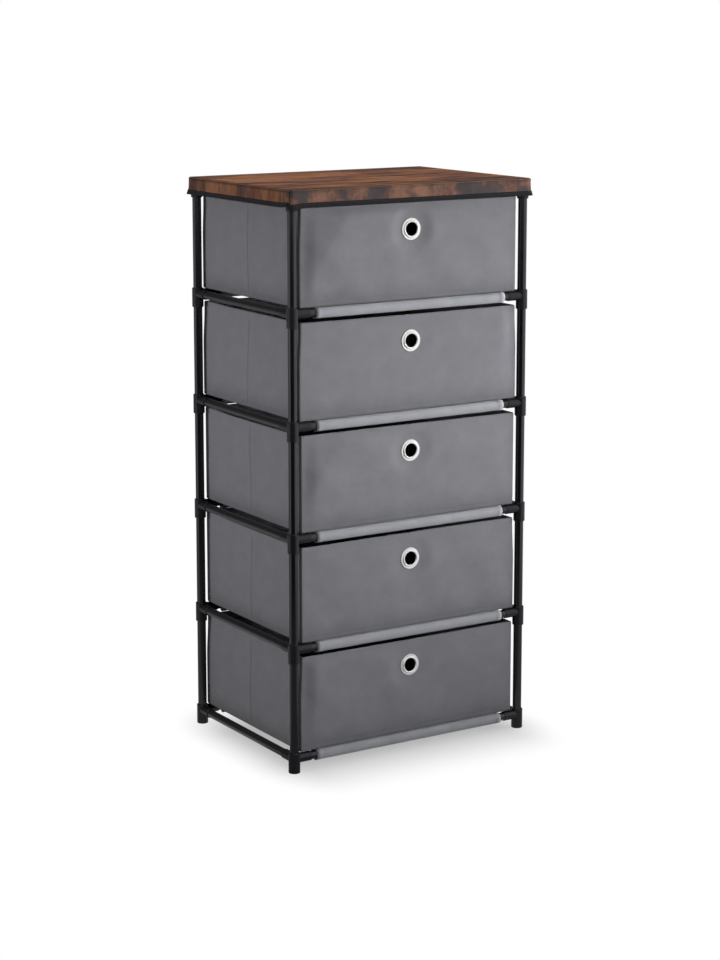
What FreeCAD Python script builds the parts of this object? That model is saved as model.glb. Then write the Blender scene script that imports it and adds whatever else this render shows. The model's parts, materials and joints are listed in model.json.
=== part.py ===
import FreeCAD
import Part
import Sketcher
import math
import os

# A tower of cloth drawers in a push-fit frame of steel tubes and plastic connectors.
# Millimetres, +Z up, drawer fronts towards -Y, origin on the floor below the middle of the top.

DRAWER_COUNT = 5
TOP_LEVEL = DRAWER_COUNT + 1

SIZES = {
    # Grid of the frame, between tube axes
    "post_span_x": 432.0,
    "post_span_y": 302.0,
    "tier_pitch": 176.0,
    "foot_height": 23.0,
    # Steel tubes
    "upright_od": 14.4,
    "upright_wall": 0.8,
    "rail_od": 13.2,
    "rail_wall": 0.8,
    # Plastic connectors
    "socket_clearance": 0.1,
    "sleeve_wall": 2.0,
    "sleeve_collar": 1.7,
    "upper_socket_depth": 13.0,
    "lower_socket_depth": 14.0,
    "top_socket_depth": 11.0,
    "socket_web": 4.5,
    "arm_wall": 1.1,
    "arm_web": 2.7,
    "arm_socket_depth": 17.0,
    "rim_bevel": 0.7,
    "cap_rise": 0.5,
    # Cloth shelf sheets
    "sheet_cloth": 0.8,
    "sheet_web": 0.6,
    "tunnel_clearance": 0.1,
    "sheet_side_gap": 9.5,
    # Drawers
    "drawer_side_clearance": 3.7,
    "drawer_front_set": -1.0,
    "drawer_back_set": -4.0,
    "drawer_lift": 0.3,
    "drawer_top_gap": 7.1,
    "drawer_cloth": 0.8,
    "drawer_corner_radius": 3.0,
    "lining_corner_radius": 2.0,
    "card": 2.0,
    "card_fold_gap": 3.0,
    "base_board": 3.0,
    "base_clearance": 1.0,
    # Eyelets
    "eyelet_drop": 42.0,
    "eyelet_hole": 21.2,
    "eyelet_od": 35.0,
    "eyelet_dome": 2.4,
    "eyelet_brim": 0.9,
    "eyelet_brim_bevel": 0.5,
    "eyelet_bead": 3.8,
    "barrel_wall": 0.8,
    "barrel_clearance": 0.2,
    "washer_od": 32.0,
    "washer": 1.0,
    # Top board and its cover
    "top_board": 5.0,
    "board_clearance": 0.2,
    "cover_cloth": 0.8,
    "cover_corner_radius": 9.0,
    "skirt_clearance": 0.6,
    "binding_tape": 0.8,
    "binding_height": 7.0,
    "hem_clearance": 0.9,
    # Length by which a cutting shape runs past the face that it opens
    "cut_overrun": 1.0,
}

# Sizes that follow from the sheet
UPRIGHT_R = "(sizes.upright_od / 2)"
RAIL_R = "(sizes.rail_od / 2)"
UPRIGHT_SOCKET_R = f"({UPRIGHT_R} + sizes.socket_clearance)"
RAIL_SOCKET_R = f"({RAIL_R} + sizes.socket_clearance)"
SLEEVE_R = f"({UPRIGHT_SOCKET_R} + sizes.sleeve_wall)"
ARM_R = f"({RAIL_SOCKET_R} + sizes.arm_wall)"
ARM_FLOOR = f"({SLEEVE_R} + sizes.arm_web)"
ARM_REACH = f"({ARM_FLOOR} + sizes.arm_socket_depth)"
SLEEVE_TOP = f"({ARM_R} + sizes.sleeve_collar)"
CAP_TOP = f"({ARM_R} + sizes.cap_rise)"
SOCKET_FLOOR = f"({SLEEVE_TOP} - sizes.upper_socket_depth)"
SOCKET_CEILING = f"({SOCKET_FLOOR} - sizes.socket_web)"
TUNNEL_BORE_R = f"({RAIL_R} + sizes.tunnel_clearance)"
TUNNEL_R = f"({TUNNEL_BORE_R} + sizes.sheet_cloth)"
SHEET_WIDTH = f"(sizes.post_span_x - 2 * ({ARM_REACH} + sizes.sheet_side_gap))"

DRAWER_WIDTH = f"(sizes.post_span_x - 2 * ({SLEEVE_R} + sizes.drawer_side_clearance))"
DRAWER_DEPTH = "(sizes.post_span_y - sizes.drawer_front_set - sizes.drawer_back_set)"
DRAWER_SHIFT = "((sizes.drawer_front_set - sizes.drawer_back_set) / 2)"
DRAWER_FLOOR = f"({ARM_R} + sizes.drawer_lift)"
DRAWER_TOP = f"(sizes.tier_pitch - {ARM_R} - sizes.drawer_top_gap)"
DRAWER_HEIGHT = f"({DRAWER_TOP} - {DRAWER_FLOOR})"
DRAWER_WALL = "(2 * sizes.drawer_cloth + sizes.card)"
CARD_HEIGHT = f"({DRAWER_HEIGHT} - 2 * sizes.drawer_cloth)"
CARD_MARGIN = "(sizes.drawer_cloth + sizes.card + sizes.drawer_corner_radius)"
EYELET_HEIGHT = f"({DRAWER_HEIGHT} - sizes.eyelet_drop)"
BARREL_R = "(sizes.eyelet_hole / 2 + sizes.barrel_wall)"
BARREL_HOLE_R = f"({BARREL_R} + sizes.barrel_clearance)"

COVER_OVERHANG = f"({SLEEVE_R} + sizes.skirt_clearance + sizes.binding_tape + sizes.cover_cloth)"
COVER_X = f"(sizes.post_span_x + 2 * {COVER_OVERHANG})"
COVER_Y = f"(sizes.post_span_y + 2 * {COVER_OVERHANG})"


def level(number):
    """Height of the rail axes of a level, counted from 1 at the feet."""
    return f"(sizes.foot_height + {number - 1} * sizes.tier_pitch)"


TOP_AXIS = level(TOP_LEVEL)
BOARD_UNDERSIDE = f"({TOP_AXIS} + {CAP_TOP})"
COVER_TOP = f"({BOARD_UNDERSIDE} + sizes.top_board + sizes.cover_cloth)"
HEM = f"({TOP_AXIS} - {ARM_R} - sizes.drawer_top_gap + sizes.hem_clearance)"
SKIRT_EDGE = f"({HEM} + sizes.binding_tape)"

# Turn that lays an object's own Z axis along the named axis
TURN_TO = {
    "x": FreeCAD.Rotation(FreeCAD.Vector(0, 1, 0), 90),
    "y": FreeCAD.Rotation(FreeCAD.Vector(1, 0, 0), -90),
    "z": FreeCAD.Rotation(),
}

doc = FreeCAD.newDocument("drawer_tower")
nodes = []


def make_sheet():
    """The spreadsheet that holds every driving dimension."""
    sheet = doc.addObject("Spreadsheet::Sheet", "sizes")
    for row, (alias, value) in enumerate(SIZES.items(), start=1):
        sheet.set(f"A{row}", alias)
        sheet.set(f"B{row}", str(value))
        sheet.setAlias(f"B{row}", alias)
    doc.recompute()


def bind(thing, expressions):
    """Tie properties of an object to expressions over the sheet."""
    for path, expression in expressions.items():
        thing.setExpression(path, expression)
    return thing


def place(thing, x="0", y="0", z="0"):
    """Tie an object's place to expressions over the sheet."""
    return bind(thing, {"Placement.Base.x": x, "Placement.Base.y": y, "Placement.Base.z": z})


def node(thing, label):
    """Name an object as one sub-part of the assembly."""
    thing.Label = label
    nodes.append(thing)


# Solids and booleans

def box(name, low, high):
    """A box between two corners, each given as three expressions."""
    block = doc.addObject("Part::Box", name)
    sides = [f"{end} - ({start})" for start, end in zip(low, high)]
    bind(block, dict(zip(("Length", "Width", "Height"), sides)))
    return place(block, *low)


def cylinder(name, axis, start, end, radius):
    """A cylinder along an axis through the origin."""
    rod = doc.addObject("Part::Cylinder", name)
    rod.Placement = FreeCAD.Placement(FreeCAD.Vector(), TURN_TO[axis])
    return bind(rod, {"Radius": radius, "Height": f"{end} - ({start})", f"Placement.Base.{axis}": start})


def cone(name, axis, start, end, start_radius, end_radius):
    """A cone along an axis through the origin."""
    rim = doc.addObject("Part::Cone", name)
    rim.Placement = FreeCAD.Placement(FreeCAD.Vector(), TURN_TO[axis])
    sizes = {"Radius1": start_radius, "Radius2": end_radius, "Height": f"{end} - ({start})"}
    return bind(rim, {**sizes, f"Placement.Base.{axis}": start})


def fuse(name, shapes):
    joined = doc.addObject("Part::MultiFuse", name)
    joined.Shapes = shapes
    joined.Refine = True
    return joined


def cut(name, base, tool):
    result = doc.addObject("Part::Cut", name)
    result.Base = base
    result.Tool = tool
    return result


def group(name, links):
    """Several objects as one, without joining their solids."""
    compound = doc.addObject("Part::Compound", name)
    compound.Links = links
    return compound


def mirror(name, source, normal):
    """The same object on the other side of the middle plane with this normal."""
    copy = doc.addObject("Part::Mirroring", name)
    copy.Source = source
    copy.Normal = normal
    return copy


def left_and_right(name, source):
    return group(f"{name}_pair_x", [source, mirror(f"{name}_right", source, FreeCAD.Vector(1, 0, 0))])


def front_and_back(name, source):
    return group(f"{name}_pair_y", [source, mirror(f"{name}_back", source, FreeCAD.Vector(0, 1, 0))])


def four_corners(name, source):
    return front_and_back(name, left_and_right(name, source))


# Bodies and sketches

def new_sketch(body, name, plane, lift="0"):
    """A sketch on one of the body's origin planes, raised along the plane's normal."""
    sketch = body.newObject("Sketcher::SketchObject", name)
    support = next(feature for feature in body.Origin.OriginFeatures if feature.Role == plane)
    sketch.AttachmentSupport = [(support, "")]
    sketch.MapMode = "FlatFace"
    return bind(sketch, {"AttachmentOffset.Base.z": lift})


def dimension(sketch, name, expression, kind, *references):
    """A named dimension of a sketch, tied to the sheet."""
    value = sketch.evalExpression(expression)
    index = sketch.addConstraint(Sketcher.Constraint(kind, *references, value))
    sketch.renameConstraint(index, name)
    sketch.setExpression(f"Constraints.{name}", expression)


def add_circle(sketch, name, radius, height="0"):
    """A circle centred on the sketch's vertical axis."""
    centre = FreeCAD.Vector(0, sketch.evalExpression(height), 0)
    circle = Part.Circle(centre, FreeCAD.Vector(0, 0, 1), sketch.evalExpression(radius))
    index = sketch.addGeometry(circle, False)
    if height == "0":
        sketch.addConstraint(Sketcher.Constraint("Coincident", index, 3, -1, 1))
    else:
        sketch.addConstraint(Sketcher.Constraint("PointOnObject", index, 3, -2))
        dimension(sketch, f"{name}_height", height, "DistanceY", -1, 1, index, 3)
    dimension(sketch, f"{name}_radius", radius, "Radius", index)


def add_rounded_rectangle(sketch, name, length, width, radius):
    """A rectangle with round corners, centred on the sketch's origin."""
    corner = sketch.evalExpression(radius)
    straight_x = sketch.evalExpression(f"{length} / 2") - corner
    straight_y = sketch.evalExpression(f"{width} / 2") - corner
    centres = [(straight_x, -straight_y), (straight_x, straight_y),
               (-straight_x, straight_y), (-straight_x, -straight_y)]
    sides = []
    arcs = []
    for quarter, (x, y) in enumerate(centres):
        start_angle = (quarter - 1) * math.pi / 2
        outward = FreeCAD.Vector(math.cos(start_angle), math.sin(start_angle), 0) * corner
        before = FreeCAD.Vector(*centres[quarter - 1], 0)
        here = FreeCAD.Vector(x, y, 0)
        sides.append(sketch.addGeometry(Part.LineSegment(before + outward, here + outward), False))
        circle = Part.Circle(here, FreeCAD.Vector(0, 0, 1), corner)
        arc = Part.ArcOfCircle(circle, start_angle, start_angle + math.pi / 2)
        arcs.append(sketch.addGeometry(arc, False))
    for quarter in range(len(centres)):
        next_side = sides[(quarter + 1) % len(sides)]
        sketch.addConstraint(Sketcher.Constraint("Tangent", sides[quarter], 2, arcs[quarter], 1))
        sketch.addConstraint(Sketcher.Constraint("Tangent", arcs[quarter], 2, next_side, 1))
        direction = "Vertical" if quarter % 2 else "Horizontal"
        sketch.addConstraint(Sketcher.Constraint(direction, sides[quarter]))
    for arc in arcs[1:]:
        sketch.addConstraint(Sketcher.Constraint("Equal", arcs[0], arc))
    sketch.addConstraint(Sketcher.Constraint("Symmetric", arcs[3], 3, arcs[1], 3, -1, 1))
    dimension(sketch, f"{name}_radius", radius, "Radius", arcs[0])
    dimension(sketch, f"{name}_length", length, "DistanceX", sides[3], 1, sides[1], 1)
    dimension(sketch, f"{name}_width", width, "DistanceY", sides[0], 1, sides[2], 1)


def pad(body, name, sketch, length):
    feature = body.newObject("PartDesign::Pad", name)
    feature.Profile = sketch
    return bind(feature, {"Length": length})


def pocket(body, name, sketch, length, along_normal=False):
    """A cut from the sketch, against its normal unless told otherwise."""
    feature = body.newObject("PartDesign::Pocket", name)
    feature.Profile = sketch
    feature.Reversed = along_normal
    return bind(feature, {"Length": length})


def new_body(name):
    return doc.addObject("PartDesign::Body", name)


# Frame

def tube(name, outer_radius, wall, length):
    """A round tube that stands on the XY plane."""
    body = new_body(name)
    section = new_sketch(body, f"{name}_section", "XY_Plane")
    add_circle(section, "outside", outer_radius)
    add_circle(section, "inside", f"({outer_radius} - {wall})")
    pad(body, f"{name}_pad", section, length)
    return body


def make_uprights():
    """Upright tubes, seated on the socket floors above and below; one node per tier."""
    length = f"(sizes.tier_pitch + {SOCKET_CEILING} - {SOCKET_FLOOR})"
    upright = tube("upright", UPRIGHT_R, "sizes.upright_wall", length)
    place(upright, "-sizes.post_span_x / 2", "-sizes.post_span_y / 2", SOCKET_FLOOR)
    uprights = four_corners("upright", upright)
    for tier in range(1, TOP_LEVEL):
        node(place(group(f"uprights_{tier}", [uprights]), z=level(tier)), f"uprights_tier_{tier}")


def make_rails():
    """Rails seated on the floors of the connector arms; front and back rails carry the sheets."""
    cross = tube("cross_rail", RAIL_R, "sizes.rail_wall", f"(sizes.post_span_x - 2 * {ARM_FLOOR})")
    cross.Placement = FreeCAD.Placement(FreeCAD.Vector(), TURN_TO["x"])
    place(cross, f"{ARM_FLOOR} - sizes.post_span_x / 2", "-sizes.post_span_y / 2")
    cross_pair = front_and_back("cross_rail", cross)
    side = tube("side_rail", RAIL_R, "sizes.rail_wall", f"(sizes.post_span_y - 2 * {ARM_FLOOR})")
    side.Placement = FreeCAD.Placement(FreeCAD.Vector(), TURN_TO["y"])
    place(side, "-sizes.post_span_x / 2", f"{ARM_FLOOR} - sizes.post_span_y / 2")
    side_pair = left_and_right("side_rail", side)
    for tier in range(1, TOP_LEVEL):
        node(place(group(f"cross_rails_{tier}", [cross_pair]), z=level(tier)), f"cross_rails_tier_{tier}")
        node(place(group(f"side_rails_{tier}", [side_pair]), z=level(tier)), f"side_rails_tier_{tier}")
    node(place(group("rails_top", [cross_pair, side_pair]), z=TOP_AXIS), "top_rails")


def bevelled_rod(name, axis, start, end, radius, bevel_start=False):
    """A rod with a bevelled rim at its far end, and at its near end where told."""
    rim_radius = f"({radius} - sizes.rim_bevel)"
    far = f"({end} - sizes.rim_bevel)"
    near = f"({start} + sizes.rim_bevel)" if bevel_start else start
    pieces = [cylinder(f"{name}_rod", axis, near, far, radius)]
    pieces.append(cone(f"{name}_far_rim", axis, far, end, radius, rim_radius))
    if bevel_start:
        pieces.append(cone(f"{name}_near_rim", axis, start, near, rim_radius, radius))
    return pieces


def connector(name, low, high, sockets):
    """A sleeve with two arms, bored for the upright sockets given as (start, end) pairs."""
    outside = bevelled_rod(f"{name}_sleeve", "z", low, high, SLEEVE_R, bevel_start=True)
    bores = []
    for axis in ("x", "y"):
        outside += bevelled_rod(f"{name}_arm_{axis}", axis, "0", ARM_REACH, ARM_R)
        mouth = f"({ARM_REACH} + sizes.cut_overrun)"
        bores.append(cylinder(f"{name}_bore_{axis}", axis, ARM_FLOOR, mouth, RAIL_SOCKET_R))
    for index, (start, end) in enumerate(sockets):
        bores.append(cylinder(f"{name}_bore_z{index}", "z", start, end, UPRIGHT_SOCKET_R))
    shape = cut(name, fuse(f"{name}_outside", outside), fuse(f"{name}_bores", bores))
    return place(shape, "-sizes.post_span_x / 2", "-sizes.post_span_y / 2")


def make_connectors():
    """Corner connectors: feet at the bottom, a ring of four per tier, and caps at the top."""
    upper = (SOCKET_FLOOR, f"({SLEEVE_TOP} + sizes.cut_overrun)")
    tier_low = f"({SOCKET_CEILING} - sizes.lower_socket_depth)"
    top_low = f"({SOCKET_CEILING} - sizes.top_socket_depth)"
    foot = connector("foot", "-sizes.foot_height", SLEEVE_TOP, [upper])
    lower = (f"({tier_low} - sizes.cut_overrun)", SOCKET_CEILING)
    middle = connector("middle", tier_low, SLEEVE_TOP, [upper, lower])
    top = connector("cap", top_low, CAP_TOP, [(f"({top_low} - sizes.cut_overrun)", SOCKET_CEILING)])
    middles = four_corners("middle", middle)
    node(place(group("feet", [four_corners("foot", foot)]), z=level(1)), "foot_connectors")
    for tier in range(2, TOP_LEVEL):
        node(place(group(f"connectors_{tier}", [middles]), z=level(tier)), f"connectors_tier_{tier}")
    node(place(group("caps", [four_corners("cap", top)]), z=TOP_AXIS), "top_connectors")


def make_shelf_sheets():
    """Cloth sheets that hang between a tunnel round the front rail and one round the back rail."""
    body = new_body("sheet")
    profile = new_sketch(body, "sheet_profile", "YZ_Plane")
    half_span = profile.evalExpression("sizes.post_span_y / 2")
    radius = profile.evalExpression(TUNNEL_R)
    underside = radius - profile.evalExpression("sizes.sheet_web")
    meet_angle = math.asin(underside / radius)
    meet = radius * math.cos(meet_angle)
    up = FreeCAD.Vector(0, 0, 1)
    front = FreeCAD.Vector(-half_span, 0, 0)
    back = FreeCAD.Vector(half_span, 0, 0)
    turn = 2 * math.pi
    quarter = math.pi / 2
    top_line = Part.LineSegment(front + FreeCAD.Vector(0, radius, 0), back + FreeCAD.Vector(0, radius, 0))
    low_line = Part.LineSegment(
        front + FreeCAD.Vector(meet, underside, 0), back + FreeCAD.Vector(-meet, underside, 0))
    top = profile.addGeometry(top_line, False)
    low = profile.addGeometry(low_line, False)
    front_arc = profile.addGeometry(
        Part.ArcOfCircle(Part.Circle(front, up, radius), quarter, turn + meet_angle), False)
    back_arc = profile.addGeometry(
        Part.ArcOfCircle(Part.Circle(back, up, radius), math.pi - meet_angle, turn + quarter), False)
    for constraint in (
        ("Tangent", top, 1, front_arc, 1),
        ("Tangent", top, 2, back_arc, 2),
        ("Coincident", low, 1, front_arc, 2),
        ("Coincident", low, 2, back_arc, 1),
        ("Horizontal", low),
        ("Equal", front_arc, back_arc),
        ("PointOnObject", front_arc, 3, -1),
        ("Symmetric", front_arc, 3, back_arc, 3, -1, 1),
    ):
        profile.addConstraint(Sketcher.Constraint(*constraint))
    dimension(profile, "rail_span", "sizes.post_span_y", "DistanceX", front_arc, 3, back_arc, 3)
    dimension(profile, "tunnel_radius", TUNNEL_R, "Radius", front_arc)
    dimension(profile, "web_cloth", "sizes.sheet_web", "DistanceY", low, 1, top, 1)
    for name, centre, arc in (("front_bore", front, front_arc), ("back_bore", back, back_arc)):
        bore = profile.addGeometry(Part.Circle(centre, up, profile.evalExpression(TUNNEL_BORE_R)), False)
        profile.addConstraint(Sketcher.Constraint("Coincident", bore, 3, arc, 3))
        dimension(profile, f"{name}_radius", TUNNEL_BORE_R, "Radius", bore)
    pad(body, "sheet_pad", profile, SHEET_WIDTH)
    place(body, f"-{SHEET_WIDTH} / 2")
    for tier in range(1, TOP_LEVEL):
        node(place(group(f"sheet_{tier}", [body]), z=level(tier)), f"shelf_sheet_{tier}")


# Top

def make_top():
    """Board on the top connectors, the cover over it, and the tape round the cover's hem."""
    board = new_body("board")
    gap = "(sizes.cover_cloth + sizes.board_clearance)"
    board_outline = new_sketch(board, "board_outline", "XY_Plane")
    add_rounded_rectangle(board_outline, "board", f"({COVER_X} - 2 * {gap})", f"({COVER_Y} - 2 * {gap})",
                          f"(sizes.cover_corner_radius - {gap})")
    pad(board, "board_pad", board_outline, "sizes.top_board")
    node(place(board, z=BOARD_UNDERSIDE), "top_board")

    cover = new_body("cover")
    cloth = "sizes.cover_cloth"
    inside = (f"({COVER_X} - 2 * {cloth})", f"({COVER_Y} - 2 * {cloth})",
              f"(sizes.cover_corner_radius - {cloth})")
    outline = new_sketch(cover, "cover_outline", "XY_Plane")
    add_rounded_rectangle(outline, "cover", COVER_X, COVER_Y, "sizes.cover_corner_radius")
    pad(cover, "cover_pad", outline, f"{COVER_TOP} - {SKIRT_EDGE}")
    hollow = new_sketch(cover, "cover_hollow", "XY_Plane")
    add_rounded_rectangle(hollow, "hollow", *inside)
    pocket(cover, "cover_pocket", hollow, f"{COVER_TOP} - {SKIRT_EDGE} - {cloth}", along_normal=True)
    node(place(cover, z=SKIRT_EDGE), "top_cover")

    binding = new_body("binding")
    tape = "sizes.binding_tape"
    rim = new_sketch(binding, "binding_rim", "XY_Plane")
    reach = f"({cloth} + {tape})"
    add_rounded_rectangle(rim, "outer", f"({COVER_X} + 2 * {tape})", f"({COVER_Y} + 2 * {tape})",
                          f"(sizes.cover_corner_radius + {tape})")
    add_rounded_rectangle(rim, "inner", f"({COVER_X} - 2 * {reach})", f"({COVER_Y} - 2 * {reach})",
                          f"(sizes.cover_corner_radius - {reach})")
    pad(binding, "binding_pad", rim, "sizes.binding_height")
    slot = new_sketch(binding, "binding_slot", "XY_Plane", tape)
    add_rounded_rectangle(slot, "slot_outer", COVER_X, COVER_Y, "sizes.cover_corner_radius")
    add_rounded_rectangle(slot, "slot_inner", *inside)
    pocket(binding, "binding_pocket", slot, "sizes.binding_height", along_normal=True)
    node(place(binding, z=HEM), "cover_binding")


# Drawers, each modelled about the middle of its own floor

def drawer_outline(sketch, name, inset, radius):
    """Plan of a drawer layer, set in from the outside of the skin."""
    add_rounded_rectangle(
        sketch, name, f"({DRAWER_WIDTH} - 2 * {inset})", f"({DRAWER_DEPTH} - 2 * {inset})", radius)


def eyelet_opening(body, name, lift="0"):
    """Round hole for the eyelet's barrel through the front wall."""
    circle = new_sketch(body, f"{name}_opening", "XZ_Plane")
    add_circle(circle, "opening", BARREL_HOLE_R, f"({EYELET_HEIGHT} - {lift})")
    pocket(body, f"{name}_opening_cut", circle, DRAWER_DEPTH, along_normal=True)


def drawer_skin():
    """Outer cloth with its rim folded inwards over the stiffeners."""
    body = new_body("skin")
    cloth = "sizes.drawer_cloth"
    outline = new_sketch(body, "skin_outline", "XY_Plane")
    drawer_outline(outline, "skin", "0", "sizes.drawer_corner_radius")
    pad(body, "skin_pad", outline, DRAWER_HEIGHT)
    mouth = new_sketch(body, "skin_mouth", "XY_Plane", DRAWER_HEIGHT)
    drawer_outline(mouth, "mouth", DRAWER_WALL, f"(sizes.lining_corner_radius - {cloth})")
    pocket(body, "skin_mouth_cut", mouth, cloth)
    hollow = new_sketch(body, "skin_hollow", "XY_Plane", f"({DRAWER_HEIGHT} - {cloth})")
    drawer_outline(hollow, "hollow", cloth, f"(sizes.drawer_corner_radius - {cloth})")
    pocket(body, "skin_hollow_cut", hollow, f"({DRAWER_HEIGHT} - 2 * {cloth})")
    eyelet_opening(body, "skin")
    return body


def drawer_lining():
    """Inner cloth from the skin's floor up to its folded rim."""
    body = new_body("lining")
    cloth = "sizes.drawer_cloth"
    outline = new_sketch(body, "lining_outline", "XY_Plane")
    drawer_outline(outline, "lining", f"({cloth} + sizes.card)", "sizes.lining_corner_radius")
    pad(body, "lining_pad", outline, CARD_HEIGHT)
    hollow = new_sketch(body, "lining_hollow", "XY_Plane", CARD_HEIGHT)
    drawer_outline(hollow, "lining_inside", DRAWER_WALL, f"(sizes.lining_corner_radius - {cloth})")
    pocket(body, "lining_hollow_cut", hollow, f"({CARD_HEIGHT} - {cloth})")
    eyelet_opening(body, "lining", cloth)
    return place(body, z=cloth)


def drawer_cards():
    """Stiffeners between skin and lining: the front one, then the back and the folding sides."""
    cloth = "sizes.drawer_cloth"
    half_x = f"{DRAWER_WIDTH} / 2"
    half_y = f"{DRAWER_DEPTH} / 2"
    left = f"({CARD_MARGIN} - {half_x})"
    right = f"({half_x} - {CARD_MARGIN})"
    outer_y = f"({half_y} - {cloth})"
    inner_y = f"({outer_y} - sizes.card)"
    top = f"({cloth} + {CARD_HEIGHT})"
    blank = box("front_blank", (left, f"-{outer_y}", cloth), (right, f"-{inner_y}", top))
    hole = cylinder("front_hole", "y", f"-{half_y}", "0", BARREL_HOLE_R)
    place(hole, "0", f"-{half_y}", EYELET_HEIGHT)
    front = cut("front_card", blank, hole)
    back = box("back_card", (left, inner_y, cloth), (right, outer_y, top))
    fold = "sizes.card_fold_gap / 2"
    outer_x = f"({half_x} - {cloth})"
    near = box("side_card", (f"-{outer_x}", f"{CARD_MARGIN} - {half_y}", cloth),
               (f"(sizes.card - {outer_x})", f"-{fold}", top))
    sides = four_corners("side_card", near)
    return front, group("wall_cards", [back, sides])


def drawer_base_board():
    """Loose board on the floor of the lining."""
    margin = f"({DRAWER_WALL} + sizes.base_clearance)"
    reach_x = f"({DRAWER_WIDTH} / 2 - {margin})"
    reach_y = f"({DRAWER_DEPTH} / 2 - {margin})"
    floor = "(2 * sizes.drawer_cloth)"
    top = f"({floor} + sizes.base_board)"
    return box("base", (f"-{reach_x}", f"-{reach_y}", floor), (reach_x, reach_y, top))


def drawer_eyelet():
    """Ring of a flat brim and a round bead, its barrel through the front wall, and the washer inside."""
    body = new_body("eyelet")
    profile = new_sketch(body, "eyelet_profile", "XY_Plane")
    hole_r = "(sizes.eyelet_hole / 2)"
    flange_r = "(sizes.eyelet_od / 2)"
    barrel_length = f"({DRAWER_WALL} + sizes.washer)"
    bead = "sizes.eyelet_bead"
    brim = "sizes.eyelet_brim"
    bevel = "sizes.eyelet_brim_bevel"
    rise = f"(sizes.eyelet_dome - {brim})"
    bead_r = f"({bead} * {bead} / 4 + {rise} * {rise}) / (2 * {rise})"
    inner, outer, barrel, length, curve, wide, thick, slant = [
        profile.evalExpression(value)
        for value in (hole_r, flange_r, BARREL_R, barrel_length, bead_r, bead, brim, bevel)]
    half_angle = math.asin(wide / 2 / curve)
    centre = FreeCAD.Vector(inner + wide / 2, curve * math.cos(half_angle) - thick, 0)
    low = 3 * math.pi / 2
    circle = Part.Circle(centre, FreeCAD.Vector(0, 0, 1), curve)
    arc = profile.addGeometry(Part.ArcOfCircle(circle, low - half_angle, low + half_angle), False)
    section = ((inner + wide, -thick), (outer - slant, -thick), (outer, 0), (barrel, 0),
               (barrel, length), (inner, length), (inner, -thick))
    corners = [FreeCAD.Vector(*xy, 0) for xy in section]
    flat, rim, seat, shank, end, bore = [
        profile.addGeometry(Part.LineSegment(start, stop), False)
        for start, stop in zip(corners, corners[1:])]
    for constraint in (
        ("Coincident", arc, 2, flat, 1),
        ("Coincident", flat, 2, rim, 1),
        ("Coincident", rim, 2, seat, 1),
        ("Coincident", seat, 2, shank, 1),
        ("Coincident", shank, 2, end, 1),
        ("Coincident", end, 2, bore, 1),
        ("Coincident", bore, 2, arc, 1),
        ("Horizontal", flat),
        ("Horizontal", seat),
        ("Vertical", shank),
        ("Horizontal", end),
        ("Vertical", bore),
        ("Horizontal", arc, 1, arc, 2),
        ("PointOnObject", seat, 1, -1),
    ):
        profile.addConstraint(Sketcher.Constraint(*constraint))
    dimension(profile, "hole_radius", hole_r, "DistanceX", -1, 1, bore, 2)
    dimension(profile, "flange_radius", flange_r, "DistanceX", -1, 1, seat, 1)
    dimension(profile, "barrel_radius", BARREL_R, "DistanceX", -1, 1, shank, 1)
    dimension(profile, "barrel_length", barrel_length, "DistanceY", shank, 1, shank, 2)
    dimension(profile, "brim_thickness", brim, "DistanceY", rim, 1, rim, 2)
    dimension(profile, "brim_bevel", bevel, "DistanceX", rim, 1, rim, 2)
    dimension(profile, "bead_width", bead, "DistanceX", arc, 1, arc, 2)
    dimension(profile, "bead_radius", bead_r, "Radius", arc)
    ring = body.newObject("PartDesign::Revolution", "eyelet_turn")
    ring.Profile = profile
    ring.ReferenceAxis = (profile, ["V_Axis"])
    ring.Angle = 360
    disc = cylinder("washer_disc", "y", DRAWER_WALL, barrel_length, "sizes.washer_od / 2")
    hole = cylinder("washer_hole", "y", "0", f"({barrel_length} + sizes.cut_overrun)",
                    f"({BARREL_R} + sizes.socket_clearance)")
    eyelet = group("eyelet_set", [body, cut("washer_ring", disc, hole)])
    return place(eyelet, "0", f"-{DRAWER_DEPTH} / 2", EYELET_HEIGHT)


def make_drawers():
    front_card, wall_cards = drawer_cards()
    pieces = {
        "skin": drawer_skin(),
        "lining": drawer_lining(),
        "front_card": front_card,
        "wall_cards": wall_cards,
        "base_board": drawer_base_board(),
        "eyelet": drawer_eyelet(),
    }
    for tier in range(1, TOP_LEVEL):
        floor = f"({level(tier)} + {DRAWER_FLOOR})"
        for name, piece in pieces.items():
            copy = group(f"{name}_of_drawer_{tier}", [piece])
            node(place(copy, "0", DRAWER_SHIFT, floor), f"drawer_{tier}_{name}")


def check_model():
    """Stop if a feature failed, a cut removed nothing or a sub-part is not sound."""
    for thing in doc.Objects:
        if "Invalid" in thing.State or "Error" in thing.State:
            raise RuntimeError(f"{thing.Name} failed: {thing.State}")
        if thing.TypeId == "PartDesign::Pocket" and thing.Shape.Volume >= thing.BaseFeature.Shape.Volume:
            raise RuntimeError(f"{thing.Name} cut nothing")
    for thing in nodes:
        if thing.Shape.isNull() or not thing.Shape.isValid() or not thing.Shape.Solids:
            raise RuntimeError(f"{thing.Label} has no sound shape")


def write_parts():
    os.makedirs("parts", exist_ok=True)
    for thing in nodes:
        thing.Shape.exportStep(f"parts/{thing.Label}.step")
    solids = sum(len(thing.Shape.Solids) for thing in nodes)
    print(f"{len(nodes)} sub-parts with {solids} solids written")


make_sheet()
make_uprights()
make_rails()
make_connectors()
make_shelf_sheets()
make_top()
make_drawers()
doc.recompute()
check_model()
write_parts()
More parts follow.
